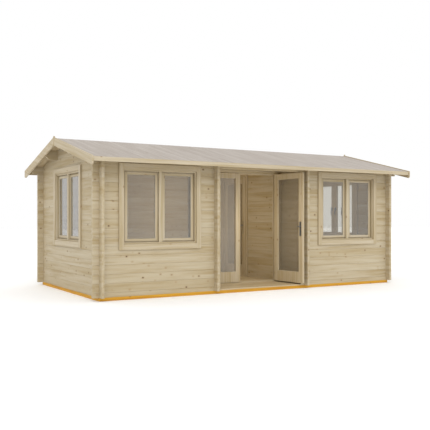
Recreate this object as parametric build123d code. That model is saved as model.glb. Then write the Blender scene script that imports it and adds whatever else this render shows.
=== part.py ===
from build123d import *
import math
import os

os.makedirs("parts", exist_ok=True)

# All sizes are in millimetres. X runs along the front from left to right, Y from front to back, Z up.
# The origin is on the ground at the centre of the walls.

# Walls of planed logs. They cross at the corners, where each log is cut to half its height.
WIDTH = 5720
DEPTH = 2890
LOG = 45
COURSE = 135
GROOVE = 5
LOG_END = 100
TOP_LOG_END = 195
BASE = 50
JOIST = 44
SILL_COURSES = 5
WALL_COURSES = 14
SEAM = 0.3
OVERCUT = 1
FRONT_X = WIDTH / 2
FRONT_Y = DEPTH / 2
ROOM_X = FRONT_X - LOG
ROOM_Y = FRONT_Y - LOG
CROSS_X = FRONT_X - LOG / 2
CROSS_Y = FRONT_Y - LOG / 2

# Front and back walls start with half a log, so their logs cross the side logs half a course off.
LONG = BASE + COURSE / 2
SIDE = BASE
SILL_Z = LONG + SILL_COURSES * COURSE
TOP_Z = LONG + WALL_COURSES * COURSE

# Floor
FLOOR_BOARD = 20
FLOOR_GAP = 2
FLOOR_Z = BASE + FLOOR_BOARD

# Low gable roof. Its underside cuts a little into the top logs.
PITCH = 13.7
ROOF_BOARD = 19
ROOF_BITE = 7.5
EAVE = 330
VERGE = 230
FASCIA = 18
FASCIA_H = 63
BARGE = 20
BARGE_H = 132
BARGE_RISE = 13
BARGE_PAST = 15
BARGE_LAP = 8
EAR = 20
PURLIN_Y = 555
PURLIN_H = 150
PURLIN_CUT = 60
SLOPE = math.tan(math.radians(PITCH))
ROOF_DROP = ROOF_BOARD / math.cos(math.radians(PITCH))
RIDGE_Z = TOP_Z + COURSE - ROOF_BITE + FRONT_Y * SLOPE + ROOF_DROP

# Porch between two partitions, with a log wall set back that holds its double doors
PORCH_W = 1760
PORCH_LOG_END = 72
STUB = 76
PART_X = PORCH_W / 2 + LOG / 2
PART_IN = PORCH_W / 2
PART_OUT = PART_IN + LOG

# Windows: a mullioned frame in the wall's hole, with boards over the joint on both faces.
HOLE_W = 1282
SETTLE = 25
TRIM = 28
TRIM_OVER = 48
TRIM_SIDE = 75
TRIM_UNDER = 53.5
TRIM_ABOVE = 16.5
TRIM_END = 82
INNER_TRIM = 16
RIM_SIDE = 20
RIM_END = 26
MULLION = 59
FRAME_T = 66
SASH_IN = 31
SASH_STEP = 17
SASH_T = 35
SASH_GROOVE = 18
MULLION_GROOVE = 8
STILE_OUT = 39
STILE_IN = 42.5
SASH_RAIL = 36
GLASS_T = 4
GLASS_IN = 6
WINDOW_PLATE_H = 160
GABLE_LIFT = 16.5
WINDOW_X = (PART_OUT + ROOM_X) / 2

# Doors: glazed leaves on barrel hinges, in rebated frames
CLEAR = 6
LEAF_T = 45
LEAF_UNDER = 10.5
DOOR_SILL = 16
JAMB = 46
HEAD = 50
STOP = 22
STOP_T = 20
STOP_SILL = 12
STILE = 95
RAIL_TOP = 93
RAIL_LOW = 185
OPEN = 94
PIN_OUT = 9
PIN_SIDE = 6
KNUCKLE = 6
PIN = 3
PIN_CLEAR = 0.3
HINGE_H = 90
HINGE_IN = 220
PLATE_UP = 835
PLATE_H = 245
PLATE_W = 40
PLATE_T = 5
LEVER_UP = 165
LEVER = 18
LEVER_L = 115
LEVER_OUT = 42
KNOB = 18
KNOB_NECK = 9
LEAF_LOW = FLOOR_Z + DOOR_SILL + CLEAR
LEAF_HIGH = TOP_Z - LEAF_UNDER
HEAD_Z = LEAF_HIGH + CLEAR
JAMB_X = PART_IN - STUB - JAMB
LEAF_W = JAMB_X - 1.5 * CLEAR

# The porch is as deep as lets an open leaf reach past the front wall, with its handle clear of the logs.
LEAF_PAST = 79
PORCH_DEPTH = LEAF_W - LEAF_PAST
DOOR_Y = -FRONT_Y + PORCH_DEPTH

# Door in the right partition
INNER_LEAF_W = 788
INNER_BACK = 170
INNER_HEAD = 22
CASING = 78
CASING_T = 16
REVEAL = 20
INNER_HINGE_Y = ROOM_Y - INNER_BACK
INNER_LATCH_Y = INNER_HINGE_Y - INNER_LEAF_W - 2 * CLEAR


def block(x0, x1, y0, y1, z0, z1):
    """Plain box between two corners, given in any order."""
    centre = Pos((x0 + x1) / 2, (y0 + y1) / 2, (z0 + z1) / 2)
    return centre * Box(abs(x1 - x0), abs(y1 - y0), abs(z1 - z0))


def prism(points, x0, x1):
    """Solid with this outline in Y and Z, from x0 to x1."""
    face = make_face(Plane.YZ * Polyline(*points, close=True))
    return Pos(x0, 0, 0) * extrude(face, x1 - x0, dir=(1, 0, 0))


def save(node, *solids):
    shape = solids[0] if len(solids) == 1 else Compound(children=list(solids))
    export_step(shape, f"parts/{node}.step")


def under_roof(y):
    """Height of the underside of the roof boards."""
    return RIDGE_Z - ROOF_DROP - abs(y) * SLOPE


reach = FRONT_Y + 2 * EAVE
above_roof = prism([(-reach, under_roof(reach)), (0, under_roof(0)), (reach, under_roof(reach)),
                    (reach, 2 * RIDGE_Z), (-reach, 2 * RIDGE_Z)], -FRONT_X - 2 * EAVE, FRONT_X + 2 * EAVE)


def purlin_space(y):
    """Where a purlin passes through a wall."""
    low = under_roof(y) - PURLIN_H
    return block(-FRONT_X - EAVE, FRONT_X + EAVE, y - LOG / 2, y + LOG / 2, low, 2 * RIDGE_Z)


purlin_spaces = [purlin_space(y) for y in (0, -PURLIN_Y, PURLIN_Y)]


def logs(start, end, low, high, first):
    """Logs laid on each other along X, with a V groove at each joint on both faces."""
    half = LOG / 2
    side = [(half, low), (half, high)]
    joint = first
    while joint < high + 1:
        if joint > low - 1 and not 1 < high - joint < 2 * GROOVE + 10:
            side += [(half, joint - GROOVE), (half - GROOVE, joint), (half, joint + GROOVE)]
            side = [point for point in side if point != (half, joint)]
        joint += COURSE
    side = sorted((point for point in side if low <= point[1] <= high), key=lambda point: point[1])
    other = [(-y, z) for y, z in reversed(side)]
    return prism(side + other, start, end)


def necks(at, first, low, high):
    """Space for the half-height necks of the logs that cross at this place."""
    cuts = []
    centre = first - COURSE / 2
    while centre < high + COURSE:
        bottom = max(centre - COURSE / 4, low)
        top = min(centre + COURSE / 4, high)
        if top > bottom:
            cuts.append(block(at - LOG / 2, at + LOG / 2, -LOG, LOG, bottom, top))
        centre += COURSE
    return cuts


def wall(pieces, first, crossings):
    """Log wall along X on Y = 0, in pieces (start, end, low, high), cut where other walls cross it.

    Each crossing gives its place, the first joint of the logs that cross, and how high they run.
    """
    solids = []
    for start, end, low, high in pieces:
        solid = logs(start, end, low, high, first)
        cuts = []
        for at, joint, bottom, top in crossings:
            if start < at < end:
                cuts += necks(at, joint, max(bottom, low - 1), min(top, high + 1))
        solids.append(solid - cuts if cuts else solid)
    return solids


# Base beams under every wall, with joists between them that carry the floor boards.
beam_end = ROOM_Y - SEAM
beams = []
for side in (-1, 1):
    beams.append(block(-FRONT_X, FRONT_X, side * FRONT_Y, side * ROOM_Y, 0, BASE))
    beams.append(block(side * FRONT_X, side * ROOM_X, -beam_end, beam_end, 0, BASE))
    beams.append(block(side * PART_IN, side * PART_OUT, -beam_end, beam_end, 0, BASE))
for x0, x1 in ((-CROSS_X, -PART_X), (-PART_X, PART_X), (PART_X, CROSS_X)):
    for share in (1, 2, 3):
        x = x0 + (x1 - x0) * share / 4
        beams.append(block(x - JOIST / 2, x + JOIST / 2, -beam_end, beam_end, 0, BASE))
save("base_frame", *beams)

# Floors, cut round the stubs of the porch wall
short_end = DOOR_Y + LOG + LOG_END
stub_out = PART_OUT + LOG_END
stub_in = PART_IN - STUB
back = ROOM_Y - FLOOR_GAP


def stub_space(x0, x1):
    return block(x0, x1, DOOR_Y - FLOOR_GAP, DOOR_Y + LOG + FLOOR_GAP, BASE - OVERCUT, FLOOR_Z + OVERCUT)


for side, node in ((-1, "left_room_floor"), (1, "right_room_floor")):
    floor = block(side * (PART_OUT + FLOOR_GAP), side * (ROOM_X - FLOOR_GAP), -back, back, BASE, FLOOR_Z)
    save(node, floor - stub_space(side * PART_IN, side * (stub_out + FLOOR_GAP)))
floor = block(-PART_IN + FLOOR_GAP, PART_IN - FLOOR_GAP, -FRONT_Y, back, BASE, FLOOR_Z)
floor += block(-PART_OUT, -PART_IN + FLOOR_GAP, short_end + FLOOR_GAP, back, BASE, FLOOR_Z)
floor -= [stub_space(-PART_IN, -stub_in + FLOOR_GAP), stub_space(stub_in - FLOOR_GAP, PART_IN)]
porch_end = PART_IN - PORCH_LOG_END
for side in (-1, 1):
    floor -= block(side * PART_IN, side * (porch_end - FLOOR_GAP), -FRONT_Y - OVERCUT, -ROOM_Y + FLOOR_GAP,
                   BASE - OVERCUT, FLOOR_Z + OVERCUT)
save("centre_floor", floor)

# Front and back walls. The front is in two halves beside the porch, and each half is in pieces round its
# window. The top logs run right across.
hole = HOLE_W / 2 + SEAM
roof_top = under_roof(ROOM_Y)
wall_end = FRONT_X + LOG_END
side_logs = [(x, SIDE, BASE, RIDGE_Z) for x in (-CROSS_X, -PART_X, PART_X, CROSS_X)]
back_logs = [crossing for crossing in side_logs if crossing[0] != -PART_X]
for side, node in ((-1, "front_left_wall"), (1, "front_right_wall")):
    spans = [(porch_end, wall_end, BASE, SILL_Z - SEAM), (porch_end, WINDOW_X - hole, SILL_Z, TOP_Z),
             (WINDOW_X + hole, wall_end, SILL_Z, TOP_Z)]
    spans = [(min(side * a, side * b), max(side * a, side * b), low, high) for a, b, low, high in spans]
    save(node, *[Pos(0, -CROSS_Y, 0) * solid for solid in wall(spans, LONG, side_logs)])
save("back_wall", *[Pos(0, CROSS_Y, 0) * solid
                    for solid in wall([(-wall_end, wall_end, BASE, TOP_Z)], LONG, back_logs)])
top_end = FRONT_X + TOP_LOG_END
for side, node, crossings in ((-1, "front_top_log", side_logs), (1, "back_top_log", back_logs)):
    log = wall([(-top_end, top_end, TOP_Z, roof_top)], LONG, crossings)[0]
    save(node, Pos(0, side * CROSS_Y, 0) * log - above_roof)

# Porch wall: a stub on each side of the door frame, and the logs over it
header_z = HEAD_Z + HEAD + 2
header_y = DOOR_Y + LOG / 2
spans = [(-stub_out, -stub_in, BASE, header_z - SEAM), (stub_in, stub_out, BASE, header_z - SEAM),
         (-stub_out, stub_out, header_z, under_roof(DOOR_Y + LOG))]
save("porch_wall", *[Pos(0, header_y, 0) * solid - above_roof
                     for solid in wall(spans, LONG, [(x, SIDE, BASE, RIDGE_Z) for x in (-PART_X, PART_X)])])


# Purlins carry the roof and stand out past the gables, with the lower corner of each end cut off.
def purlin(y):
    low = under_roof(y) - PURLIN_H
    reach = FRONT_X + VERGE - BARGE - SEAM
    points = [(-reach, low + PURLIN_CUT), (-reach + PURLIN_CUT, low), (reach - PURLIN_CUT, low),
              (reach, low + PURLIN_CUT), (reach, low + 2 * PURLIN_H), (-reach, low + 2 * PURLIN_H)]
    face = make_face(Plane.XZ * Polyline(*points, close=True))
    return Pos(0, y - LOG / 2, 0) * extrude(face, LOG, dir=(0, 1, 0)) - above_roof


save("roof_purlins", purlin(0), purlin(-PURLIN_Y), purlin(PURLIN_Y))


# Walls along Y: the gable walls, in pieces round their windows, and the two partitions.
def side_wall(x, pieces, crossings):
    solids = []
    for piece, solid in zip(pieces, wall(pieces, SIDE, crossings)):
        solid = Pos(x, 0, 0) * Rot(0, 0, 90) * solid
        if piece[3] > TOP_Z + COURSE / 2:
            solid = solid - ([above_roof] + purlin_spaces)
        solids.append(solid)
    return solids


lower = SIDE + SILL_COURSES * COURSE
upper = SIDE + (WALL_COURSES + 1) * COURSE
side_end = FRONT_Y + LOG_END
front_corner = (-CROSS_Y, LONG, BASE, RIDGE_Z)
back_corner = (CROSS_Y, LONG, BASE, RIDGE_Z)
porch_corner = (header_y, LONG, BASE, RIDGE_Z)
gable = [
    (-side_end, side_end, BASE, lower - SEAM),
    (-side_end, -hole, lower, upper - SEAM),
    (hole, side_end, lower, upper - SEAM),
    (-hole + SEAM, hole - SEAM, lower, SILL_Z + GABLE_LIFT),
    (-hole + SEAM, hole - SEAM, TOP_Z + GABLE_LIFT, upper - SEAM),
    (-side_end, side_end, upper, RIDGE_Z),
]
save("left_gable_wall", *side_wall(-CROSS_X, gable, [front_corner, back_corner]))
save("right_gable_wall", *side_wall(CROSS_X, gable, [front_corner, back_corner]))
save("left_partition", *side_wall(-PART_X, [(-side_end, short_end, BASE, RIDGE_Z)],
                                  [front_corner, porch_corner]))
partition = [
    (-side_end, INNER_LATCH_Y - JAMB, BASE, upper - SEAM),
    (INNER_HINGE_Y + JAMB, side_end, BASE, upper - SEAM),
    (-side_end, side_end, upper, RIDGE_Z),
]
save("right_partition", *side_wall(PART_X, partition, [front_corner, porch_corner, back_corner]))

# Windows, made facing -Y with the outer face of the wall at Y = 0
trim_x = HOLE_W / 2 + TRIM_OVER
trim_in = trim_x - TRIM_SIDE
trim_low = SILL_Z - TRIM_UNDER
trim_high = TOP_Z + TRIM_ABOVE
frame_high = TOP_Z - SETTLE
rim_x = trim_in - RIM_SIDE
rim_low = trim_low + TRIM_END + RIM_END
rim_high = trim_high - TRIM_END - RIM_END


def window_frame():
    """Jambs, head and sill, each with its outer and inner trim board, and the mullion."""
    solids = []
    for side in (-1, 1):
        jamb = block(side * rim_x, side * HOLE_W / 2, 0, FRAME_T, SILL_Z, frame_high)
        jamb += block(side * trim_in, side * trim_x, -TRIM, 0, trim_low, trim_high)
        jamb += block(side * trim_in, side * trim_x, LOG, LOG + INNER_TRIM, trim_low, trim_high)
        solids.append(jamb)
    x = rim_x - SEAM
    y = trim_in - SEAM
    for z0, z1, z2, z3 in ((SILL_Z, rim_low, trim_low, trim_low + TRIM_END),
                           (rim_high, frame_high, trim_high - TRIM_END, trim_high)):
        rail = block(-x, x, 0, FRAME_T, z0, z1)
        rail += block(-y, y, -TRIM, 0, z2, z3)
        rail += block(-y, y, LOG, LOG + INNER_TRIM, z2, z3)
        solids.append(rail)
    solids.append(block(-MULLION / 2, MULLION / 2, 0, FRAME_T, rim_low + SEAM, rim_high - SEAM))
    return solids


def sash(side):
    """Casement on one side of the mullion: stiles and rails with a stepped outer edge, and its glass."""
    x_out = rim_x
    x_in = MULLION / 2
    g_out = x_out - SASH_GROOVE - STILE_OUT
    g_in = x_in + MULLION_GROOVE + STILE_IN
    g_low = rim_low + SASH_GROOVE + SASH_RAIL
    g_high = rim_high - SASH_GROOVE - SASH_RAIL
    face = SASH_IN
    step = SASH_IN + SASH_STEP
    rear = SASH_IN + SASH_T
    solids = []
    for edge, groove, glass in ((x_out, -SASH_GROOVE, g_out), (x_in, MULLION_GROOVE, g_in)):
        inset = -SEAM if edge == x_out else SEAM
        stile = block(side * (edge + groove), side * glass, face, step,
                      rim_low + SASH_GROOVE, rim_high - SASH_GROOVE)
        stile += block(side * (edge + inset), side * glass, step, rear, rim_low + SEAM, rim_high - SEAM)
        solids.append(stile)
    for edge, groove, glass in ((rim_low, SASH_GROOVE, g_low), (rim_high, -SASH_GROOVE, g_high)):
        inset = SEAM if edge == rim_low else -SEAM
        ends = (side * (g_in + SEAM), side * (g_out - SEAM))
        rail = block(*ends, face, step, edge + groove, glass)
        solids.append(rail + block(*ends, step, rear, edge + inset, glass))
    pane = block(side * g_in, side * g_out, face + GLASS_IN, face + GLASS_IN + GLASS_T, g_low, g_high)
    return solids, pane, (x_in + MULLION_GROOVE + STILE_IN / 2, rear, (g_low + g_high) / 2)


def window_handle(side, x, y, z):
    """Casement handle on the inside of its meeting stile."""
    x = side * x
    top = z + WINDOW_PLATE_H / 4
    plate = block(x - 11, x + 11, y, y + 8, top - WINDOW_PLATE_H / 2, top)
    plate += block(x - 8, x + 8, y + 8, y + 36, top - 34, top - 14)
    return plate + block(x - 8, x + 8, y + 24, y + 36, top - WINDOW_PLATE_H, top - 14)


frame_set = window_frame()
pane_set = []
handle_set = []
for side in (-1, 1):
    members, pane, grip = sash(side)
    frame_set += members
    pane_set.append(pane)
    handle_set.append(window_handle(side, *grip))
places = {
    "front_left": Pos(-WINDOW_X, -FRONT_Y, 0),
    "front_right": Pos(WINDOW_X, -FRONT_Y, 0),
    "left_gable": Pos(-FRONT_X, 0, GABLE_LIFT) * Rot(0, 0, -90),
    "right_gable": Pos(FRONT_X, 0, GABLE_LIFT) * Rot(0, 0, 90),
}
handles = []
for name, place in places.items():
    save(f"{name}_window", *[place * solid for solid in frame_set])
    save(f"{name}_window_glass", *[place * solid for solid in pane_set])
    handles += [place * solid for solid in handle_set]
save("window_handles", *handles)


# Doors. Each leaf is made with its pin on X = 0, Y = 0, shut, its free edge to the right, its outer face to
# the front.
def leaf(width, low, high):
    x0 = PIN_SIDE + CLEAR
    x1 = x0 + width
    window = (x0 + STILE, x1 - STILE)
    body = block(x0, x1, PIN_OUT, PIN_OUT + LEAF_T, low, high)
    body -= block(*window, PIN_OUT - OVERCUT, PIN_OUT + LEAF_T + OVERCUT, low + RAIL_LOW, high - RAIL_TOP)
    middle = PIN_OUT + (LEAF_T - GLASS_T) / 2
    return body, block(*window, middle, middle + GLASS_T, low + RAIL_LOW, high - RAIL_TOP)


def handle(width, side, knob=False):
    """Plate with a lever, or with a knob, on the outer face, side -1, or on the inner face, side 1."""
    x = PIN_SIDE + CLEAR + width - STILE / 2
    face = PIN_OUT if side < 0 else PIN_OUT + LEAF_T
    front = face + side * LEVER_OUT
    low = FLOOR_Z + PLATE_UP
    z = low + LEVER_UP
    grip = block(x - PLATE_W / 2, x + PLATE_W / 2, face, face + side * PLATE_T, low, low + PLATE_H)
    if knob:
        turn = Rot(90, 0, 0)
        grip += Pos(x, (face + front) / 2, z) * turn * Cylinder(KNOB_NECK, LEVER_OUT)
        return grip + Pos(x, front - side * KNOB / 2, z) * turn * Cylinder(KNOB, KNOB)
    grip += block(x - LEVER / 2, x + LEVER / 2, face + side * PLATE_T, front, z - LEVER / 2, z + LEVER / 2)
    return grip + block(x - LEVER_L, x + LEVER / 2, front - side * 16, front, z - LEVER / 2, z + LEVER / 2)


def hinges(low, high):
    """Three barrel hinges: the leaf's halves, and the frame's halves with their pins."""
    leaf_side = []
    frame_side = []
    edge = PIN_SIDE + CLEAR
    for z in (low + HINGE_IN, (low + high) / 2, high - HINGE_IN):
        top = z + HINGE_H / 2
        bottom = z - HINGE_H / 2
        upper = Pos(0, 0, z + HINGE_H / 4) * Cylinder(KNUCKLE, HINGE_H / 2)
        upper += block(edge, edge + 34, PIN_OUT - 3, PIN_OUT, z, top)
        upper += block(0, edge + 6, PIN_OUT - 6, PIN_OUT - 3, z, top)
        leaf_side.append(upper - Pos(0, 0, z) * Cylinder(PIN + PIN_CLEAR, 3 * HINGE_H))
        lower = Pos(0, 0, z - HINGE_H / 4 - SEAM) * Cylinder(KNUCKLE, HINGE_H / 2)
        lower += block(-18, 0, PIN_OUT - 3, PIN_OUT, bottom, z - SEAM)
        lower += block(-4, 4, 0, PIN_OUT, bottom, z - SEAM)
        frame_side.append(lower + Pos(0, 0, z) * Cylinder(PIN, HINGE_H - 6))
    return leaf_side, frame_side


def flipped(shape):
    """The same piece made for the other hand."""
    return mirror(shape, Plane.YZ)


pin_x = JAMB_X + PIN_SIDE
body, glass = leaf(LEAF_W, LEAF_LOW, LEAF_HIGH)
leaf_hinges, frame_hinges = hinges(LEAF_LOW, LEAF_HIGH)
shut = Pos(-pin_x, DOOR_Y - PIN_OUT, 0)
save("left_door_leaf", shut * body)
save("left_door_glass", shut * glass)
save("left_door_hinges", *[shut * solid for solid in leaf_hinges])
hinge_posts = [shut * solid for solid in frame_hinges]

# The right leaf stands open as in the photograph.
shut = Pos(pin_x, DOOR_Y - PIN_OUT, 0)
ajar = shut * Rot(0, 0, OPEN)
save("right_door_leaf", ajar * flipped(body))
save("right_door_glass", ajar * flipped(glass))
save("right_door_hinges", *[ajar * flipped(solid) for solid in leaf_hinges])
# Its outer face passes close to the ends of the front logs, so it has a knob there.
save("right_door_handles", ajar * flipped(handle(LEAF_W, -1, knob=True)), ajar * flipped(handle(LEAF_W, 1)))
hinge_posts += [shut * flipped(solid) for solid in frame_hinges]

# The inner door swings into the right room, on pins at its back edge.
body, glass = leaf(INNER_LEAF_W, LEAF_LOW, LEAF_HIGH)
shut = Pos(PART_OUT + PIN_OUT, INNER_HINGE_Y + PIN_SIDE, 0) * Rot(0, 0, 90)
save("inner_door_leaf", shut * flipped(body))
save("inner_door_glass", shut * flipped(glass))
save("inner_door_hinges", *[shut * flipped(solid) for solid in leaf_hinges])
save("inner_door_handles", *[shut * flipped(handle(INNER_LEAF_W, side)) for side in (-1, 1)])
hinge_posts += [shut * flipped(solid) for solid in frame_hinges]
save("door_hinge_pins", *hinge_posts)


# Door frames, made facing -Y with the face of the leaves at Y = 0: jambs, head and sill, each with a stop.
def door_frame(x0, x1, low, head, ends):
    """x0 and x1 are the inner edges of the jambs, and ends are the lowest and highest points."""
    stop_y = LEAF_T + CLEAR
    deep = stop_y + STOP_T
    solids = []
    for edge, side in ((x0, -1), (x1, 1)):
        jamb = block(edge, edge + side * (JAMB - SEAM), 0, deep, *ends)
        solids.append(jamb + block(edge - side * STOP, edge, stop_y, deep, *ends))
    for inner, outer, step in ((low, ends[0], STOP_SILL), (head, ends[1], -STOP)):
        rail = block(x0 + SEAM, x1 - SEAM, 0, stop_y, inner, outer)
        rail += block(x0 + STOP + SEAM, x1 - STOP - SEAM, stop_y - 1, deep, inner + step, outer)
        solids.append(rail)
    return solids


sill_z = LEAF_LOW - CLEAR
frame = door_frame(-JAMB_X, JAMB_X, sill_z, HEAD_Z, (FLOOR_Z, HEAD_Z + HEAD))
save("front_door_frame", *[Pos(0, DOOR_Y, 0) * solid for solid in frame])

# The inner frame also has casings on both faces of the partition, and a threshold on the base beam.
frame = door_frame(INNER_LATCH_Y, INNER_HINGE_Y, sill_z, HEAD_Z, (FLOOR_Z, HEAD_Z + INNER_HEAD))
edges = (INNER_LATCH_Y - JAMB + REVEAL, INNER_HINGE_Y + JAMB - REVEAL)
casing_z = HEAD_Z + 12
casing_top = casing_z + CASING
faces = ((-CASING_T, 0), (LOG, LOG + CASING_T))
for y0, y1 in faces:
    frame[0] += block(edges[0], edges[0] - CASING, y0, y1, FLOOR_Z, casing_top)
    frame[1] += block(edges[1], edges[1] + CASING, y0, y1, FLOOR_Z, casing_top)
    frame[3] += block(edges[0] + SEAM, edges[1] - SEAM, y0, y1, casing_z, casing_top)
frame[2] += block(INNER_LATCH_Y, INNER_HINGE_Y, 1, LOG - 1, BASE, FLOOR_Z)
save("inner_door_frame", *[Pos(PART_OUT, 0, 0) * Rot(0, 0, 90) * solid for solid in frame])

# Roof boards on each slope, eave boards and gable boards
eave_y = FRONT_Y + EAVE - FASCIA
verge_x = FRONT_X + VERGE - BARGE
fascia_top = RIDGE_Z - (FRONT_Y + EAVE) * SLOPE
for side, name in ((-1, "front"), (1, "back")):
    y = side * eave_y
    points = [(0, under_roof(0)), (y, under_roof(y)), (y, under_roof(y) + ROOF_DROP), (0, RIDGE_Z)]
    save(f"{name}_roof_boards", prism(points, -verge_x, verge_x))
    save(f"{name}_fascia", block(-verge_x, verge_x, y, y + side * FASCIA, fascia_top - FASCIA_H, fascia_top))

# The back gable boards are thicker than the front ones, and end at the ridge in a small raised ear.
for side, name in ((-1, "left"), (1, "right")):
    boards = []
    top = RIDGE_Z + BARGE_RISE
    low = top - BARGE_H
    reach = FRONT_Y + EAVE + BARGE_PAST
    for way in (-1, 1):
        start = way * SEAM / 2
        points = [(start, top), (way * reach, top - reach * SLOPE), (way * reach, low + 25 - reach * SLOPE),
                  (way * (reach - 25), low - (reach - 25) * SLOPE), (start, low)]
        thick = BARGE
        if way > 0:
            points[0] = (start, top + EAR)
            points.insert(1, (start + EAR, top - EAR * SLOPE))
            thick += BARGE_LAP
        x0, x1 = sorted((side * verge_x, side * (verge_x + thick)))
        boards.append(prism(points, x0, x1))
    save(f"{name}_bargeboards", *boards)
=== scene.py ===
import math
import random
from functools import partial

import bmesh
import bpy
from mathutils import Matrix, Vector


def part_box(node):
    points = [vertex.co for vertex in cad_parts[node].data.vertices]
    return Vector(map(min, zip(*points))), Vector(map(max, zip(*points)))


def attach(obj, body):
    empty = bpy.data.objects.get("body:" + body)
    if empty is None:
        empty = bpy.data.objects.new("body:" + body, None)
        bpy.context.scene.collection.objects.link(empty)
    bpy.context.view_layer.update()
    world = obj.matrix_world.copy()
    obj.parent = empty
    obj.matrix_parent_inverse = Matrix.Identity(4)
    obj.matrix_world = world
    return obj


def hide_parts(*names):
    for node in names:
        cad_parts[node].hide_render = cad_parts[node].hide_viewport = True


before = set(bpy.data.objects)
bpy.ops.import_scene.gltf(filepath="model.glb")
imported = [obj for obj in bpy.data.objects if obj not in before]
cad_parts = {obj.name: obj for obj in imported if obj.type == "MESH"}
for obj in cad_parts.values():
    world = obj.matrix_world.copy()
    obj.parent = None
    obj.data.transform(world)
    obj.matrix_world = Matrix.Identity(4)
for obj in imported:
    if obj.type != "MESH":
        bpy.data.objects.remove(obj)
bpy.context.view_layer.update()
print("frame loaded:", len(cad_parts), "nodes")


def linear(hexColour):
    channels = [int(hexColour[i:i + 2], 16) / 255 for i in (1, 3, 5)]
    return (*[c / 12.92 if c <= 0.04045 else ((c + 0.055) / 1.055) ** 2.4 for c in channels], 1)


# An input is given as a value, as a socket, or as a node, which stands for that node's first output.
def addNode(tree, kind, inputs=None, stops=(), **settings):
    node = tree.nodes.new("ShaderNode" + kind)
    for name, value in settings.items():
        setattr(node, name, value)
    for key, value in (inputs or {}).items():
        if isinstance(value, bpy.types.Node):
            value = value.outputs[0]
        if isinstance(value, bpy.types.NodeSocket):
            tree.links.new(value, node.inputs[key])
        else:
            node.inputs[key].default_value = value
    while stops and len(node.color_ramp.elements) < len(stops):
        node.color_ramp.elements.new(0.5)
    for number, (place, colour) in enumerate(stops):
        element = node.color_ramp.elements[number]
        element.position = place
        element.color = linear(colour) if isinstance(colour, str) else (colour, colour, colour, 1)
    return node


def newMaterial(name):
    material = bpy.data.materials.new(name)
    material.use_nodes = True
    material.node_tree.nodes.clear()
    return material, partial(addNode, material.node_tree)


# What all the timber shares. A halo and a heart fade out between two shares of the knot's size.
grain = {
    "bendMm": (769.23, 111.11, 111.11), "lateWood": [(0.0, 0.0), (0.55, 0.25), (0.86, 1.0), (0.97, 0.1)],
    "fibreStops": [(0.36, 1.0), (0.56, 0.0)], "bandPlaces": (0.32, 0.5, 0.68),
    "halo": (1.0, 2.6), "haloDepth": 0.5, "heart": (0.75, 1.15), "heartDepth": 0.9,
    "fibreHeight": 0.6, "lateHeight": -0.4, "relief": 0.0006, "roughSpread": 0.16, "ior": 1.5}


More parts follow.
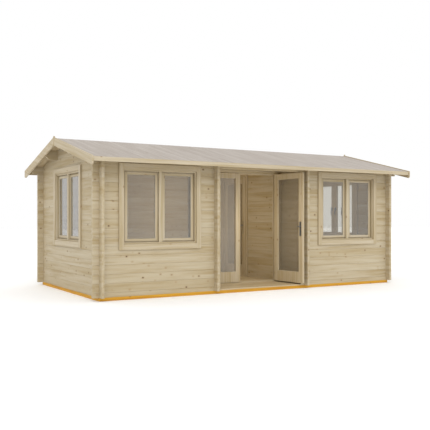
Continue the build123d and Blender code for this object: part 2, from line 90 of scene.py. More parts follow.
# Sawn and planed softwood, drawn as a solid: growth rings round a pith beside each board, so that faces
# show long grain and ends show rings. grainPoint is the place in the board, in metres from its pith. The
# fibres are some 0.03 mm wide, and are drawn fibreMm wide to show.
def timber(name, look):
    material, add = newMaterial(name)
    point = add("Attribute", attribute_name="grainPoint").outputs["Vector"]
    tone = add("Attribute", attribute_name="boardTone").outputs["Fac"]

    def streaks(sizes, detail, roughness):
        place = add("Mapping", {"Vector": point, "Scale": tuple(1000 / mm for mm in sizes)})
        return add("TexNoise", {"Vector": place, "Scale": 1.0, "Detail": detail, "Roughness": roughness})

    # Slow waves bend the rings along the board.
    bend = streaks(grain["bendMm"], detail=2.0, roughness=0.5)
    wander = add("Math", {0: bend, 1: look["wander"], 2: -look["wander"] / 2}, operation="MULTIPLY_ADD")
    across = add("SeparateXYZ", {"Vector": point})
    y, z = (add("Math", {0: across.outputs[axis], 1: wander}, operation="ADD") for axis in "YZ")
    ySquare, zSquare = (add("Math", {0: side, 1: side}, operation="MULTIPLY") for side in (y, z))
    square = add("Math", {0: ySquare, 1: zSquare}, operation="ADD")
    radius = add("Math", {0: square}, operation="SQRT")
    rings = add("Math", {0: radius, 1: look["ringMm"] / 1000}, operation="DIVIDE")
    ring = add("Math", {0: rings}, operation="FRACT")
    late = add("ValToRGB", {"Fac": ring}, grain["lateWood"])

    fibre = streaks((look["fibreLong"], look["fibreMm"], look["fibreMm"]), detail=3.0, roughness=0.6)
    bands = streaks((look["bandLong"], look["bandMm"], look["bandMm"]), detail=4.0, roughness=0.6)
    shades = zip(grain["bandPlaces"], (look["dark"], look["middle"], look["light"]))
    base = add("ValToRGB", {"Fac": bands}, list(shades))
    darkFibre = add("ValToRGB", {"Fac": fibre}, grain["fibreStops"])

    # A knot is a round dark heart in a halo that runs a little way along the grain.
    def knotPart(inner, outer):
        place = add("Mapping", {"Vector": point, "Scale": tuple(1000 / mm for mm in look["knotCells"])})
        cell = add("TexVoronoi", {"Vector": place, "Scale": 1.0, "Randomness": 1.0}, feature="F1")
        chance = add("SeparateXYZ", {"Vector": cell.outputs["Color"]})
        chosen = add("Math", {0: chance, 1: look["knotShare"]}, operation="LESS_THAN")
        stops = [(look["knotSize"] * inner, 1.0), (look["knotSize"] * outer, 0.0)]
        spot = add("ValToRGB", {"Fac": cell.outputs["Distance"]}, stops)
        return add("Math", {0: spot, 1: chosen}, operation="MULTIPLY")

    # Each of these colours the wood over the last one.
    layers = [(tone, look["toneSpread"], look["deep"]), (late, look["ringDepth"], look["ringColour"]),
              (darkFibre, look["fibreDepth"], look["ringColour"]),
              (knotPart(*grain["halo"]), grain["haloDepth"], look["halo"]),
              (knotPart(*grain["heart"]), grain["heartDepth"], look["knot"])]
    colour = base
    for where, depth, over in layers:
        share = add("Math", {0: where, 1: depth}, operation="MULTIPLY")
        colour = add("Mix", {"Factor": share, 6: colour, 7: linear(over)}, data_type="RGBA").outputs[2]

    fibreRise = add("Math", {0: fibre, 1: grain["fibreHeight"]}, operation="MULTIPLY")
    lateRise = add("Math", {0: late, 1: grain["lateHeight"]}, operation="MULTIPLY")
    height = add("Math", {0: fibreRise, 1: lateRise}, operation="ADD")
    bump = add("Bump", {"Height": height, "Strength": look["bump"], "Distance": grain["relief"]})
    spread = grain["roughSpread"]
    rough = add("Math", {0: fibre, 1: spread, 2: look["roughness"] - spread / 2}, operation="MULTIPLY_ADD")
    shader = add("BsdfPrincipled", {"Base Color": colour, "Roughness": rough, "Normal": bump,
                                    "IOR": grain["ior"]})
    add("OutputMaterial", {"Surface": shader})
    return material


# Slow-grown spruce, planed: pale straw with close faint rings, and small dark pin knots here and there.
planedSpruce = timber("planedSpruceLogs", {
    "light": "#C0B59C", "middle": "#B8AA8E", "dark": "#A6936D", "deep": "#A8956D", "ringColour": "#8F794E",
    "ringMm": 3.4, "wander": 0.008, "ringDepth": 0.10, "fibreMm": 3, "fibreLong": 320, "fibreDepth": 0.15,
    "bandMm": 60, "bandLong": 1100, "toneSpread": 0.45, "knotCells": (95, 70, 70), "knotShare": 0.17,
    "knotSize": 0.14, "halo": "#97774A", "knot": "#432E1B", "bump": 0.35, "roughness": 0.62})
# Joinery is cut from clearer spruce and planed: a little lighter, with few knots.
clearSpruce = timber("planedSpruceJoinery", {
    "light": "#C4B9A2", "middle": "#BAAC90", "dark": "#A99874", "deep": "#A89570", "ringColour": "#967F53",
    "ringMm": 2.8, "wander": 0.008, "ringDepth": 0.15, "fibreMm": 3, "fibreLong": 320, "fibreDepth": 0.14,
    "bandMm": 34, "bandLong": 1100, "toneSpread": 0.35, "knotCells": (100, 60, 60), "knotShare": 0.08,
    "knotSize": 0.12, "halo": "#9A7446", "knot": "#4A2C17", "bump": 0.3, "roughness": 0.55})
# Roof boards are spruce greyed by the weather, with wider rings and a coarse plane finish.
roofSpruce = timber("greyedSpruceRoofBoards", {
    "light": "#BEB7AF", "middle": "#B2AAA2", "dark": "#A2988F", "deep": "#9E9389", "ringColour": "#8F8377",
    "ringMm": 4.2, "wander": 0.014, "ringDepth": 0.2, "fibreMm": 4, "fibreLong": 260, "fibreDepth": 0.3,
    "bandMm": 34, "bandLong": 900, "toneSpread": 0.4, "knotCells": (110, 60, 60), "knotShare": 0.03,
    "knotSize": 0.12, "halo": "#8F7659", "knot": "#5E452F", "bump": 0.5, "roughness": 0.75})
# Floor boards, and the undersides of the roof boards, are planed spruce that is a little warmer.
floorSpruce = timber("planedSpruceFloorBoards", {
    "light": "#CEC0A4", "middle": "#C3B291", "dark": "#AE9B76", "deep": "#A7926E", "ringColour": "#98825A",
    "ringMm": 3.6, "wander": 0.012, "ringDepth": 0.22, "fibreMm": 3, "fibreLong": 240, "fibreDepth": 0.28,
    "bandMm": 30, "bandLong": 900, "toneSpread": 0.5, "knotCells": (100, 60, 60), "knotShare": 0.06,
    "knotSize": 0.13, "halo": "#8F6A3C", "knot": "#4A2C17", "bump": 0.35, "roughness": 0.5})
# Base beams are pressure-treated softwood, which the salts leave amber.
treatedSoftwood = timber("pressureTreatedSoftwood", {
    "light": "#D7A530", "middle": "#CE9924", "dark": "#BC861C", "deep": "#B47E1A", "ringColour": "#A56810",
    "ringMm": 4.0, "wander": 0.012, "ringDepth": 0.3, "fibreMm": 4, "fibreLong": 240, "fibreDepth": 0.3,
    "bandMm": 30, "bandLong": 900, "toneSpread": 0.3, "knotCells": (100, 60, 60), "knotShare": 0.05,
    "knotSize": 0.12, "halo": "#8A5A14", "knot": "#55350F", "bump": 0.5, "roughness": 0.75})
print("timber materials made")

brushing = {"lineLong": 83.333, "roughSpread": 0.14, "bump": 0.2, "relief": 0.0002}


# Metal with fine lines up and down it. They lie 0.4 mm apart, and are drawn lineMm apart to show.
def linedMetal(name, look):
    material, add = newMaterial(name)
    place = add("TexCoord").outputs["Object"]
    sizes = (look["lineMm"], look["lineMm"], brushing["lineLong"])
    stretch = add("Mapping", {"Vector": place, "Scale": tuple(1000 / mm for mm in sizes)})
    lines = add("TexNoise", {"Vector": stretch, "Scale": 1.0, "Detail": 2.0})
    spread = brushing["roughSpread"]
    rough = add("Math", {0: lines, 1: spread, 2: look["roughness"] - spread / 2}, operation="MULTIPLY_ADD")
    bump = add("Bump", {"Height": lines, "Strength": brushing["bump"], "Distance": brushing["relief"]})
    shader = add("BsdfPrincipled", {"Base Color": linear(look["colour"]), "Metallic": 1.0,
                                    "Roughness": rough, "Normal": bump})
    add("OutputMaterial", {"Surface": shader})
    return material


# Anodised aluminium, brushed first: a grey satin sheen that draws out along the lines.
anodisedAluminium = linedMetal("anodisedAluminiumHandles", {
    "colour": "#868A8E", "roughness": 0.38, "lineMm": 1.5})
# Zinc-plated steel, rolled: paler and duller, with softer lines.
zincedSteel = linedMetal("zincPlatedSteelHinges", {
    "colour": "#B4B1A8", "roughness": 0.42, "lineMm": 2.0})

# Glass with an IOR of 1.52 reflects this share head on, and more as the view slants (Schlick's rule).
slantRule = {"headOn": 0.043, "power": 5.0}


# Float glass, cast on molten tin: flat and clear, with a sharp reflection from either face. A thin film of
# dust veils it and takes the polish off in patches.
def floatGlass(name, look):
    material, add = newMaterial(name)
    place = add("TexCoord").outputs["Object"]
    dust = add("TexNoise", {"Vector": place, "Scale": 1000 / look["dustMm"], "Detail": 4.0})
    rough = add("Math", {0: dust, 1: look["roughness"]}, operation="MULTIPLY")
    clear = add("BsdfTransparent", {"Color": linear(look["tint"])})
    gloss = add("BsdfGlossy", {"Color": linear(look["gloss"]), "Roughness": rough})
    film = add("BsdfDiffuse", {"Color": linear(look["film"]), "Roughness": 0.5})
    veil = add("MixShader", {0: look["veil"], 1: clear, 2: film})
    facing = add("LayerWeight", {"Blend": 0.5}).outputs["Facing"]
    slant = add("Math", {0: facing, 1: slantRule["power"]}, operation="POWER")
    mirror = add("Math", {0: slant, 1: 1 - slantRule["headOn"], 2: slantRule["headOn"]},
                 operation="MULTIPLY_ADD")
    shine = add("Math", {0: mirror, 1: look["shine"]}, operation="MULTIPLY")
    surface = add("MixShader", {0: shine, 1: veil, 2: gloss})
    add("OutputMaterial", {"Surface": surface})
    return material


windowGlass = floatGlass("floatGlassPanes", {
    "tint": "#F3F2EF", "gloss": "#F8FBFF", "film": "#C0C8CC", "veil": 0.05, "shine": 1.3,
    "roughness": 0.012, "dustMm": 400})
# The door panes carry more dust than the windows.
doorGlass = floatGlass("dustyFloatGlassDoorPanes", {
    "tint": "#F3F1EC", "gloss": "#FFFFFF", "film": "#B8B0A0", "veil": 0.17, "shine": 1.3,
    "roughness": 0.015, "dustMm": 400})

# Extruded silicone: matt and warm grey, with fine scuffs 1 mm wide, drawn at 4 mm to show.
silicone = {"dark": "#8B8478", "light": "#9C9588", "scuffMm": 4, "roughness": 0.7}
siliconeSeal, add = newMaterial("siliconeGlazingSeal")
scuffs = add("TexNoise", {"Vector": add("TexCoord").outputs["Object"], "Scale": 1000 / silicone["scuffMm"],
                          "Detail": 3.0})
scuffed = add("ValToRGB", {"Fac": scuffs}, [(0.35, silicone["dark"]), (0.65, silicone["light"])])
add("OutputMaterial", {"Surface": add("BsdfPrincipled", {"Base Color": scuffed,
                                                         "Roughness": silicone["roughness"]})})
print("metal, glass and silicone made")

dice = random.Random(7)
# Where each board was cut from its log, in metres to the pith and along the trunk, and how few are dark.
boards = {"pithNear": 0.02, "pithFar": 0.09, "pithSide": 0.05, "alongMost": 40, "darkPower": 1.6}
# Gaps that count as none, in metres, and angles between faces that count as flat, sharp or smooth.
meshing = {"weldGap": 1e-5, "planeGap": 1e-6, "flatDegrees": 1, "sharpDegrees": 25, "smoothDegrees": 35}
straight = Matrix.Identity(3)
up = Vector((0, 0, 1))


def shells(bm):
    bm.verts.index_update()
    seen = set()
    for start in bm.verts:
        if start.index in seen:
            continue
        group, stack = [], [start]
        seen.add(start.index)
        while stack:
            vert = stack.pop()
            group.append(vert)
            for edge in vert.link_edges:
                other = edge.other_vert(vert)
                if other.index not in seen:
                    seen.add(other.index)
                    stack.append(other)
        yield group


def corners(places):
    return [Vector([pick(place[i] for place in places) for i in range(3)]) for pick in (min, max)]


# One board or log is one shell of the mesh. Each gets a place in its own log, and a tone.
def grainAttributes(mesh, bm, axes, tones, lengthAxis=None):
    points = [None] * len(bm.verts)
    shades = [0.0] * len(bm.verts)
    for group in shells(bm):
        local = {vert.index: axes @ vert.co for vert in group}
        low, high = corners(local.values())
        size = [b - a for a, b in zip(low, high)]
        middle = [(a + b) / 2 for a, b in zip(low, high)]
        long = size.index(max(size)) if lengthAxis is None else lengthAxis
        first, second = [i for i in range(3) if i != long]
        # The pith of most boards lies outside them, on either side.
        away = dice.choice((-1, 1)) * dice.uniform(boards["pithNear"], boards["pithFar"])
        aside = dice.uniform(-boards["pithSide"], boards["pithSide"])
        along = dice.uniform(0, boards["alongMost"])
        shade = dice.random() ** boards["darkPower"] * tones
        for index, place in local.items():
            points[index] = (place[long] + along, place[first] - middle[first] + away,
                             place[second] - middle[second] + aside)
            shades[index] = shade
    layer = mesh.attributes.new("grainPoint", "FLOAT_VECTOR", "POINT")
    layer.data.foreach_set("vector", [value for point in points for value in point])
    layer = mesh.attributes.new("boardTone", "FLOAT", "POINT")
    layer.data.foreach_set("value", shades)


# node is the CAD node whose place the piece takes. woodGrain is the axes, tones and length axis of timber.
def finishPiece(name, bm, body, materials, node=None, woodGrain=None, smooth=False):
    mesh = bpy.data.meshes.new(name)
    bm.to_mesh(mesh)
    if woodGrain:
        grainAttributes(mesh, bm, *woodGrain)
    bm.free()
    for material in materials:
        mesh.materials.append(material)
    if smooth:
        mesh.shade_smooth()
        mesh.set_sharp_from_angle(angle=math.radians(meshing["smoothDegrees"]))
    piece = bpy.data.objects.new(name, mesh)
    bpy.context.scene.collection.objects.link(piece)
    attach(piece, body)
    if node:
        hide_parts(node)
    return mesh


def weldedCopy(node):
    bm = bmesh.new()
    bm.from_mesh(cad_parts[node].data)
    bmesh.ops.remove_doubles(bm, verts=bm.verts, dist=meshing["weldGap"])
    return bm


# Cuts the mesh at a plane and closes both sides. Faces that only touch the plane stay whole.
def cutApart(bm, place, normal):
    near = meshing["planeGap"]
    geometry = bm.verts[:] + bm.edges[:] + bm.faces[:]
    cut = bmesh.ops.bisect_plane(bm, geom=geometry, plane_co=place, plane_no=normal, dist=near)
    edges = []
    for edge in cut["geom_cut"]:
        if isinstance(edge, bmesh.types.BMEdge) and len(edge.link_faces) == 2:
            sides = [(face.calc_center_median() - place).dot(normal) for face in edge.link_faces]
            if min(sides) < -near and max(sides) > near:
                edges.append(edge)
    if edges:
        bmesh.ops.split_edges(bm, edges=edges)
        bmesh.ops.holes_fill(bm, edges=[edge for edge in bm.edges if edge.is_boundary], sides=0)


# Planing and handling round off the V joints of the logs, so they show shallower than they are cut. axis is
# the one through the wall.
def softenGrooves(bm, look, axis):
    across = [vert.co[axis] for vert in bm.verts]
    middle = (min(across) + max(across)) / 2
    for vert in bm.verts:
        depth = look["half"] - abs(vert.co[axis] - middle)
        if abs(depth - look["groove"]) < look["near"]:
            vert.co[axis] += math.copysign(look["groove"] - look["shows"], vert.co[axis] - middle)


def roundEdges(bm, edges, look):
    bmesh.ops.bevel(bm, geom=edges, offset=look["edge"], offset_type="OFFSET", segments=look["steps"],
                    profile=0.5, affect="EDGES", clamp_overlap=True)


# A CAD node becomes timber, cut into boards or logs at the given planes, with softened edges. axes turns
# the frame to the boards' own, and under is the material of the faces that look down.
def dressTimber(name, node, body, material, look, cuts=(), axes=straight, lengthAxis=None,
                under=None):
    bm = weldedCopy(node)
    flat = math.radians(meshing["flatDegrees"])
    bmesh.ops.dissolve_limit(bm, angle_limit=flat, verts=bm.verts, edges=bm.edges)
    if "groove" in look:
        softenGrooves(bm, look, 1 - lengthAxis)
    for place, normal in cuts:
        cutApart(bm, Vector(place), Vector(normal))
    bm.normal_update()
    sharp = math.radians(meshing["sharpDegrees"])
    roundEdges(bm, [edge for edge in bm.edges if len(edge.link_faces) == 2
                    and edge.calc_face_angle_signed(0) > sharp], look)
    bmesh.ops.triangulate(bm, faces=[face for face in bm.faces if len(face.verts) > 4])
    materials = [material, under] if under else [material]
    mesh = finishPiece(name, bm, body, materials, node, (axes, look["tones"], lengthAxis))
    if under:
        for face in mesh.polygons:
            face.material_index = int(face.normal.z < -0.5)


# half is half a log's thickness. groove is a V joint's depth as cut, near is how exactly it is found, and
# shows is the depth that is left of it.
walls = {"course": 0.135, "base": 0.05, "courses": 18, "edge": 0.0016, "steps": 1, "tones": 1.0,
         "half": 0.0225, "groove": 0.005, "near": 1e-4, "shows": 0.0036}
# The logs that run across, along X, start with half a log.
acrossJoints = [((0, 0, walls["base"] + walls["course"] * (k + 0.5)), (0, 0, 1))
                for k in range(walls["courses"])]
alongJoints = [((0, 0, walls["base"] + walls["course"] * k), (0, 0, 1)) for k in range(1, walls["courses"])]
for node in ("front_left_wall", "front_right_wall", "front_top_log", "back_wall", "back_top_log",
             "porch_wall"):
    dressTimber(node + "_logs", node, "body", planedSpruce, walls, acrossJoints, lengthAxis=0)
for node in ("left_gable_wall", "right_gable_wall", "left_partition", "right_partition"):
    dressTimber(node + "_logs", node, "body", planedSpruce, walls, alongJoints, lengthAxis=1)
print("walls made")

beams = {"edge": 0.002, "steps": 1, "tones": 1.0}
dressTimber("base_beams", "base_frame", "body", treatedSoftwood, beams)
purlins = {"edge": 0.0016, "steps": 1, "tones": 1.0}
dressTimber("purlins", "roof_purlins", "body", planedSpruce, purlins, lengthAxis=0)

floors = {"board": 0.096, "edge": 0.0012, "steps": 1, "tones": 1.0}
for node in ("left_room_floor", "centre_floor", "right_room_floor"):
    low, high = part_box(node)
    count = int((high.y - low.y) / floors["board"])
    rows = [((0, low.y + floors["board"] * (k + 1), 0), (0, 1, 0)) for k in range(count)]
    dressTimber(node + "_boards", node, "body", floorSpruce, floors, rows, lengthAxis=0)

roof = {"board": 0.088, "edge": 0.0045, "steps": 1, "tones": 1.0, "pitch": 13.7}
for node, side in (("front_roof_boards", -1), ("back_roof_boards", 1)):
    low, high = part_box(node)
    count = round((high.x - low.x) / roof["board"])
    width = (high.x - low.x) / count
    rows = [((low.x + width * (k + 1), 0, 0), (1, 0, 0)) for k in range(count - 1)]
    tilt = Matrix.Rotation(math.radians(side * roof["pitch"]), 3, "X")
    dressTimber(node + "_row", node, "body", roofSpruce, roof, rows, tilt, 1, floorSpruce)
print("floors and roof made")

joinery = {"edge": 0.0018, "steps": 2, "tones": 1.0}
tilt = Matrix.Rotation(math.radians(-roof["pitch"]), 3, "X")
for node in ("left_bargeboards", "right_bargeboards"):
    dressTimber(node + "_pair", node, "body", clearSpruce, joinery, axes=tilt, lengthAxis=1)
linings = {
    "front_fascia_board": "front_fascia", "back_fascia_board": "back_fascia",
    "front_left_casement": "front_left_window", "front_right_casement": "front_right_window",
    "left_gable_casement": "left_gable_window", "right_gable_casement": "right_gable_window",
    "front_door_lining": "front_door_frame", "inner_door_lining": "inner_door_frame"}
for name, node in linings.items():
    dressTimber(name, node, "body", clearSpruce, joinery)

# Each leaf is cut into two stiles and two rails. Its pin, and its turn to the free edge in degrees, place
# it. Its faces lie near and far metres from the pin, and its edge starts at the gap.
leaves = {"stile": 0.095, "gap": 0.012, "near": 0.009, "far": 0.054, "edge": 0.0018, "steps": 2,
          "tones": 1.0}
doors = {
    "left_door": {"pin": (-0.764, -0.784), "turn": 0, "width": 0.749},
    "right_door": {"pin": (0.764, -0.784), "turn": 180 + 94, "width": 0.749},
    "inner_door": {"pin": (0.934, 1.236), "turn": 270, "width": 0.788},
}
for body, door in doors.items():
    angle = math.radians(door["turn"])
    way = Vector((math.cos(angle), math.sin(angle), 0))
    pin = Vector((*door["pin"], 0))
    cuts = [(pin + way * (leaves["gap"] + leaves["stile"]), way),
            (pin + way * (leaves["gap"] + door["width"] - leaves["stile"]), way)]
    door.update(way=way, pinFoot=pin, axes=Matrix.Rotation(-angle, 3, "Z"))
    dressTimber(body + "_stiles_and_rails", body + "_leaf", body, clearSpruce, leaves, cuts,
                door["axes"])
print("windows and doors made")

nodeMaterials = {"window_glass": windowGlass, "door_glass": doorGlass, "handles": anodisedAluminium,
                 "hinges": zincedSteel, "pins": zincedSteel}
for name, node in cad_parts.items():
    for ending, material in nodeMaterials.items():
        if name.endswith(ending):
            node.data.materials.clear()
            node.data.materials.append(material)


def shellBoxes(node, axes):
    bm = weldedCopy(node)
    boxes = [corners([axes @ vert.co for vert in group]) for group in shells(bm)]
    bm.free()
    return boxes


# Each pane is held by a seal on its outer face and by mitred glazing beads on its inner face.
glazing = {"sealWide": 0.005, "sealOut": 0.003, "beadWide": 0.007, "beadOut": 0.010, "beadEdge": 0.003,
           "beadTones": 0.6}


# low and high are the corners of the opening in width and height, and near and far the depths.
def addMitredRing(bm, low, high, wide, near, far, place, chamfer=0.0):
    turns = [(low.x, low.z, 1, 1), (high.x, low.z, -1, 1),
             (high.x, high.z, -1, -1), (low.x, high.z, 1, -1)]
    profile = [(0, near), (wide, near), (wide - chamfer, far), (0, far)]
    for one, two in zip(turns, turns[1:] + turns[:1]):
        ends = [[bm.verts.new(place @ Vector((x + sx * inset, depth, z + sz * inset)))
                 for inset, depth in profile] for x, z, sx, sz in (one, two)]
        for j in range(4):
            bm.faces.new((ends[0][j], ends[1][j], ends[1][(j + 1) % 4], ends[0][(j + 1) % 4]))
        bm.faces.new(reversed(ends[0]))
        bm.faces.new(ends[1])


# axes turns the frame to one where the pane lies along X and Z, and outward is the sign of Y outside.
def glazePane(name, node, body, axes, outward):
    seals, beads = bmesh.new(), bmesh.new()
    back = axes.inverted()
    for low, high in shellBoxes(node, axes):
        outer, inner = (low.y, high.y) if outward < 0 else (high.y, low.y)
        sealed, beaded = outer + outward * glazing["sealOut"], inner - outward * glazing["beadOut"]
        addMitredRing(seals, low, high, glazing["sealWide"], outer, sealed, back)
        addMitredRing(beads, low, high, glazing["beadWide"], inner, beaded, back, glazing["beadEdge"])
    for bm in (seals, beads):
        bmesh.ops.recalc_face_normals(bm, faces=bm.faces)
    finishPiece(name + "_seals", seals, body, [siliconeSeal])
    finishPiece(name + "_beads", beads, body, [clearSpruce],
                woodGrain=(axes, glazing["beadTones"]))


quarter = Matrix.Rotation(math.radians(90), 3, "Z")
glazePane("front_left_glazing", "front_left_window_glass", "body", straight, -1)
glazePane("front_right_glazing", "front_right_window_glass", "body", straight, -1)
glazePane("left_gable_glazing", "left_gable_window_glass", "body", quarter, -1)
glazePane("right_gable_glazing", "right_gable_window_glass", "body", quarter, 1)
for body, outward in (("left_door", -1), ("right_door", 1), ("inner_door", 1)):
    glazePane(body + "_glazing", body + "_glass", body, doors[body]["axes"], outward)
print("glazing made")


def addPlate(bm, low, high, place, look):
    made = bmesh.ops.create_cube(bm, size=1.0)["verts"]
    for vert in made:
        vert.co = place @ Vector([a + (b - a) * (0.5 + c) for a, b, c in zip(low, high, vert.co)])
    roundEdges(bm, list(dict.fromkeys(edge for vert in made for edge in vert.link_edges)), look)


# A rod that is round or oval: radii are the half width and half height at each point of the path.
def addRod(bm, path, radii, sides=20):
    rings = []
    for number, (point, (wide, tall)) in enumerate(zip(path, radii)):
        ahead = path[min(number + 1, len(path) - 1)] - path[max(number - 1, 0)]
        turn = ahead.to_track_quat("Z", "Y").to_matrix()
        rings.append([bm.verts.new(point + turn @ Vector((wide * math.cos(t), tall * math.sin(t), 0)))
                      for t in (2 * math.pi * k / sides for k in range(sides))])
    for one, two in zip(rings, rings[1:]):
        for k in range(sides):
            bm.faces.new((one[k], one[(k + 1) % sides], two[(k + 1) % sides], two[k]))
    bm.faces.new(reversed(rings[0]))
    bm.faces.new(rings[-1])


# A turned part stands out from its foot. Its profile is a row of the way out and the radius there.
def addTurned(bm, foot, out, profile, sides):
    path = [foot + out * far for far, radius in profile]
    addRod(bm, path, [(radius, radius) for far, radius in profile], sides)


# A frame for a piece on an upright face: its X along the face, its Y out of it.
def placeOn(foot, along, out):
    place = Matrix((along, out, up)).transposed().to_4x4()
    place.translation = foot
    return place


# Door handles: a plate with rounded corners, two screws and a lock, and a bent lever or a turned knob. A
# row of the lever is the way along, the way out, and the half width and height. The grip's way along is a
# share of the lever, and the tip's is from its end.
handles = {
    "plateWide": 0.040, "plateHigh": 0.245, "plateThick": 0.005, "plateLow": 0.905,
    "edge": 0.0022, "steps": 3, "spindle": 1.070, "rose": ((0, 0.014), (0.009, 0.014), (0.011, 0.012)),
    "screwInset": 0.016, "screw": ((0.004, 0.0045), (0.0062, 0.0045), (0.0068, 0.00315)),
    "lockDrop": 0.072, "lock": ((0.004, 0.0085), (0.0085, 0.0085)),
    "lockTail": {"half": 0.005, "near": 0.004, "far": 0.008, "drop": 0.026, "edge": 0.002, "steps": 2},
    "knob": ((0, 0.009), (0.018, 0.009), (0.022, 0.013), (0.026, 0.0172), (0.036, 0.018), (0.040, 0.0155),
             (0.042, 0.010)),
    "leverBend": ((0, 0, 0.009, 0.009), (0, 0.0231, 0.009, 0.009), (0.002, 0.03276, 0.009, 0.009),
                  (0.010, 0.03612, 0.0078, 0.0085), (0.022, 0.03612, 0.0078, 0.0085)),
    "leverGrip": (0.7, 0.03528, 0.0078, 0.0085),
    "leverTip": ((0.003, 0.0336, 0.0062, 0.0078), (0, 0.03318, 0.003, 0.0045))}


def addHandle(bm, door, outward, lever):
    way = door["way"]
    out = Vector((-way.y, way.x, 0))  # towards the pin's side of the leaf
    side = out if outward else -out
    middle = leaves["gap"] + door["width"] - leaves["stile"] / 2
    foot = door["pinFoot"] - out * (leaves["near"] if outward else leaves["far"]) + way * middle
    place = placeOn(foot, way, side)
    half, bottom = handles["plateWide"] / 2, handles["plateLow"]
    top = bottom + handles["plateHigh"]
    addPlate(bm, (-half, 0, bottom), (half, handles["plateThick"], top), place, handles)
    spindle = handles["spindle"]
    if lever:
        share, *grip = handles["leverGrip"]
        rows = [*handles["leverBend"], (lever * share, *grip)]
        rows += [(lever - short, *rest) for short, *rest in handles["leverTip"]]
        addRod(bm, [place @ Vector((-along, far, spindle)) for along, far, wide, tall in rows],
               [(wide, tall) for along, far, wide, tall in rows], 24)
    else:
        addTurned(bm, foot + up * spindle, side, handles["knob"], 24)
    addTurned(bm, foot + up * spindle, side, handles["rose"], 24)
    for z in (bottom + handles["screwInset"], top - handles["screwInset"]):
        addTurned(bm, foot + up * z, side, handles["screw"], 12)
    lock, tail = spindle - handles["lockDrop"], handles["lockTail"]
    addTurned(bm, foot + up * lock, side, handles["lock"], 20)
    addPlate(bm, (-tail["half"], tail["near"], lock - tail["drop"]), (tail["half"], tail["far"], lock),
             place, tail)


# Length of the lever on the outward and the inward side of each leaf. None means a knob.
levers = {"right_door": (None, 0.058), "inner_door": (0.105, 0.105)}
for body, lengths in levers.items():
    bm = bmesh.new()
    for outward, lever in zip((True, False), lengths):
        addHandle(bm, doors[body], outward, lever)
    finishPiece(body + "_lock_set", bm, body, [anodisedAluminium], body + "_handles",
                smooth=True)

# Casement handles: a slim plate with a bent grip that hangs down. Each takes the place of its CAD solid.
# A row is the way out, the way down from the spindle or up from the solid's foot, and the half width and
# depth.
grips = {
    "plateWide": 0.028, "plateHigh": 0.078, "plateThick": 0.007, "edge": 0.003, "steps": 3,
    "spindleDrop": 0.024, "screwInset": 0.008, "screw": ((0.006, 0.0032), (0.0085, 0.0032)),
    "neck": ((0, 0, 0.0085, 0.0085), (0.022, 0, 0.0085, 0.0085), (0.029, 0.003, 0.0085, 0.0085),
             (0.032, 0.012, 0.0085, 0.00765), (0.032, 0.06, 0.009775, 0.006375)),
    "tip": ((0.030, 0.012, 0.0085, 0.0051), (0.029, 0.002, 0.00425, 0.002975))}
bm = bmesh.new()
for low, high in shellBoxes("window_handles", straight):
    middle = (low + high) / 2
    if high.y - low.y > high.x - low.x:  # on the front
        foot, side = Vector((middle.x, low.y, 0)), Vector((0, 1, 0))
    else:  # on a gable, and facing inwards
        inward = -math.copysign(1, middle.x)
        foot, side = Vector((low.x if inward > 0 else high.x, middle.y, 0)), Vector((inward, 0, 0))
    place = placeOn(foot, side.cross(up), side)
    half, bottom, top = grips["plateWide"] / 2, high.z - grips["plateHigh"], high.z
    addPlate(bm, (-half, 0, bottom), (half, grips["plateThick"], top), place, grips)
    rows = [(far, top - grips["spindleDrop"] - down, *rest) for far, down, *rest in grips["neck"]]
    rows += [(far, low.z + rise, *rest) for far, rise, *rest in grips["tip"]]
    addRod(bm, [place @ Vector((0, far, z)) for far, z, wide, deep in rows],
           [(wide, deep) for far, z, wide, deep in rows])
    for z in (top - grips["screwInset"], bottom + grips["screwInset"]):
        addTurned(bm, foot + up * z, side, grips["screw"], 12)
bmesh.ops.recalc_face_normals(bm, faces=bm.faces)
finishPiece("casement_handles", bm, "body", [anodisedAluminium], "window_handles",
            smooth=True)
print("handles made")

# Round-head nails hold the eave boards, gable boards and window boards. A head's rows are the way out and
# the radius. The gable boards' numbers are the outer faces of the front and rear board, their peak, the
# first nail's way from it, the spacing and the drops of the two rows.
nails = {
    "head": ((-0.001, 0.0035), (0.00072, 0.0035), (0.0012, 0.0021)), "sides": 10,
    "eaves": {"spacing": 0.6, "end": 0.05, "inset": 0.016},
    "gables": {"faces": (3.09, 3.098), "peak": 2.5198, "first": 0.12, "spacing": 0.5, "count": 4,
               "drops": (0.028, 0.104)},
    "windows": {"inset": 0.037, "end": 0.04, "inner": 0.45}}
heads = []  # each is a place and the way out
eaves, gables, windows = nails["eaves"], nails["gables"], nails["windows"]
for node, side in (("front_fascia", -1), ("back_fascia", 1)):
    low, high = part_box(node)
    count = round((high.x - low.x) / eaves["spacing"])
    for k in range(count + 1):
        x = low.x + eaves["end"] + (high.x - low.x - 2 * eaves["end"]) * k / count
        for z in (low.z + eaves["inset"], high.z - eaves["inset"]):
            heads.append(((x, low.y if side < 0 else high.y, z), (0, side, 0)))
slope = math.tan(math.radians(roof["pitch"]))
for side in (-1, 1):
    for way, face in zip((-1, 1), gables["faces"]):
        for k in range(gables["count"]):
            away = gables["first"] + k * gables["spacing"]
            for drop in gables["drops"]:
                z = gables["peak"] - away * slope - drop
                heads.append(((side * face, way * away, z), (side, 0, 0)))
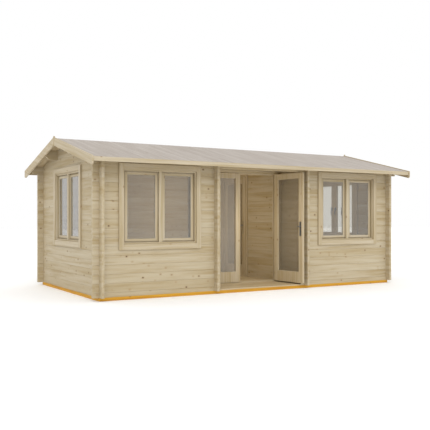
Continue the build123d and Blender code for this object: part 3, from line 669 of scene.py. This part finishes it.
for name in ("front_left", "front_right", "left_gable", "right_gable"):
    low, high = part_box(name + "_window")
    onFront = name.startswith("front")
    wide = (low.x, high.x) if onFront else (low.y, high.y)
    left, right = wide[0] + windows["inset"], wide[1] - windows["inset"]
    ends = (low.z + windows["end"], high.z - windows["end"])
    spots = [(u, z) for u in (left, right)
             for z in (ends[0], low.z + windows["inner"], high.z - windows["inner"], ends[1])]
    spots += [(left + (right - left) * k / 3, z) for k in (1, 2) for z in ends]
    for u, z in spots:
        if onFront:
            heads.append(((u, low.y, z), (0, -1, 0)))
        elif name.startswith("left"):
            heads.append(((low.x, u, z), (-1, 0, 0)))
        else:
            heads.append(((high.x, u, z), (1, 0, 0)))
bm = bmesh.new()
for place, out in heads:
    addTurned(bm, Vector(place), Vector(out), nails["head"], nails["sides"])
bmesh.ops.recalc_face_normals(bm, faces=bm.faces)
finishPiece("board_nails", bm, "body", [zincedSteel], smooth=True)
print("nails made")

# The pale floor lies just under the building.
ground = {"reach": 60, "below": 0.001, "colour": "#FFFFFF", "roughness": 0.9}
floorMesh = bpy.data.meshes.new("studioFloor")
reach = ground["reach"]
floorMesh.from_pydata([(-reach, -reach, 0), (reach, -reach, 0), (reach, reach, 0), (-reach, reach, 0)], [],
                      [(0, 1, 2, 3)])
studioFloor = bpy.data.objects.new("studioFloor", floorMesh)
studioFloor.location.z = -ground["below"]
bpy.context.scene.collection.objects.link(studioFloor)
material, add = newMaterial("paleStudioFloor")
shader = add("BsdfPrincipled", {"Base Color": linear(ground["colour"]), "Roughness": ground["roughness"]})
add("OutputMaterial", {"Surface": shader})
floorMesh.materials.append(material)

studio = {"sky": "#FFFFFF", "skyStrength": 1.0, "sunStrength": 0.9, "sunSoftness": 40,
          "sunTurn": (48, 0, -20)}
world = bpy.data.worlds.new("studio")
world.use_nodes = True
bpy.context.scene.world = world
background = world.node_tree.nodes["Background"]
background.inputs["Color"].default_value = linear(studio["sky"])
background.inputs["Strength"].default_value = studio["skyStrength"]
sun = bpy.data.lights.new("studioSun", "SUN")
sun.energy = studio["sunStrength"]
sun.angle = math.radians(studio["sunSoftness"])
sunObject = bpy.data.objects.new("studioSun", sun)
sunObject.rotation_euler = [math.radians(a) for a in studio["sunTurn"]]
bpy.context.scene.collection.objects.link(sunObject)

# Soft lamps hang in the rooms and the porch, so that they show through the glass as in the photograph.
roomLamps = {"radius": 0.5, "colour": "#FFF4E2", "lamps": {
    "left": ((-1.9, 0, 1.5), 12.5), "centre": ((-0.35, 0.35, 1.35), 20),
    "right": ((1.7, -0.2, 1.5), 17), "porch": ((0.0, -1.3, 1.2), 10)}}
for room, (place, watts) in roomLamps["lamps"].items():
    lamp = bpy.data.lights.new(room + "RoomLamp", "POINT")
    lamp.energy = watts
    lamp.shadow_soft_size = roomLamps["radius"]
    lamp.color = linear(roomLamps["colour"])[:3]
    lampObject = bpy.data.objects.new(lamp.name, lamp)
    lampObject.location = place
    lampObject.visible_camera = False
    lampObject.visible_glossy = False
    bpy.context.scene.collection.objects.link(lampObject)

viewpoint = {"place": (-6.286, -10.579, 1.204), "turn": 30.47, "lens": 55.53, "sensor": 36,
             "shift": 0.00826}
camera = bpy.data.cameras.new("camera")
camera.lens = viewpoint["lens"]
camera.sensor_width = viewpoint["sensor"]
camera.shift_y = viewpoint["shift"]
cameraObject = bpy.data.objects.new("camera", camera)
cameraObject.location = viewpoint["place"]
cameraObject.rotation_euler = (math.radians(90), 0, math.radians(-viewpoint["turn"]))
bpy.context.scene.collection.objects.link(cameraObject)
bpy.context.scene.camera = cameraObject
bpy.context.scene.view_settings.view_transform = "Standard"  # the photograph's white ground stays white
print("stage made")
